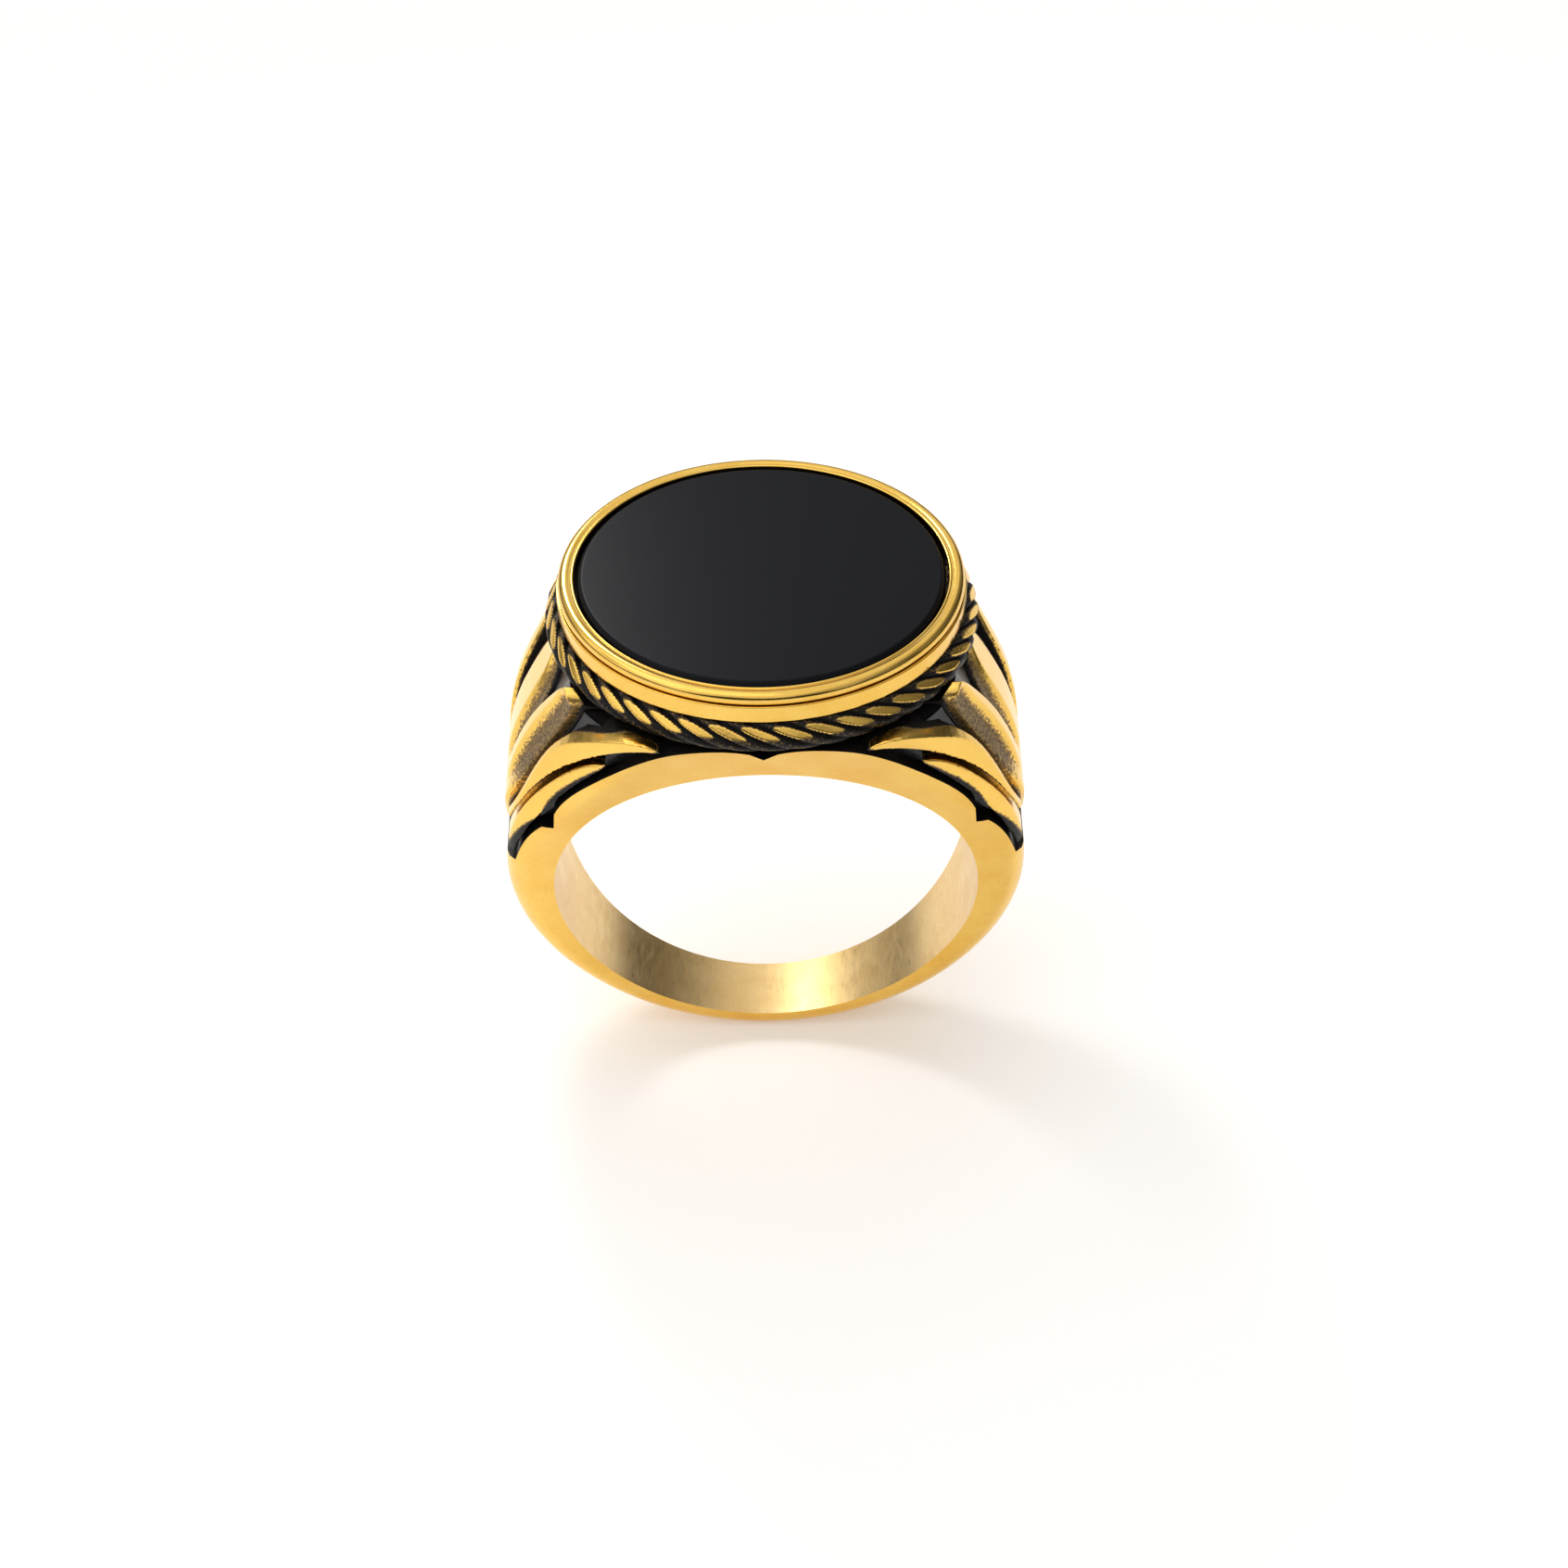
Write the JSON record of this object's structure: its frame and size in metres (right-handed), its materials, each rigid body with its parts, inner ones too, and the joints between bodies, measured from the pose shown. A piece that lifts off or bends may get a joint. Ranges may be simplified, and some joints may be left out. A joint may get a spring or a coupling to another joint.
{
  "type": "signet ring",
  "caption": "Wide-headed signet ring with a flat round black stone in a plain bezel, a twisted rope wire below it, and leaf carving on flared shoulders.",
  "frame": {"origin": "centre of the finger hole, at its middle section", "axes": "+Y along the finger hole's axis, +Z from the finger hole to the middle of the stone, +X across the shoulders"},
  "size_m": [0.0244, 0.0198, 0.0265],
  "materials": {
    "gold": "yellow gold plate, polished, with fine casting and polishing marks",
    "black_enamel": "glossy black enamel in the carved ground, slightly uneven",
    "onyx": "flat black stone with a fine satin polish",
    "cement": "thin hard bed of dark jeweller's cement"
  },
  "bodies": {
    "root": {"bezel_cup": "gold", "left_centre_leaf": "gold", "left_enamel": "black_enamel", "left_front_high_leaf": "gold", "left_front_low_leaf": "gold", "left_front_outer_leaf": "gold", "left_rear_high_leaf": "gold", "left_rear_low_leaf": "gold", "left_rear_outer_leaf": "gold", "right_centre_leaf": "gold", "right_enamel": "black_enamel", "right_front_high_leaf": "gold", "right_front_low_leaf": "gold", "right_front_outer_leaf": "gold", "right_rear_high_leaf": "gold", "right_rear_low_leaf": "gold", "right_rear_outer_leaf": "gold", "rope_wire": "gold", "shank": "gold", "stone": "onyx", "stone_cement": "cement"}
  },
  "joints": []
}
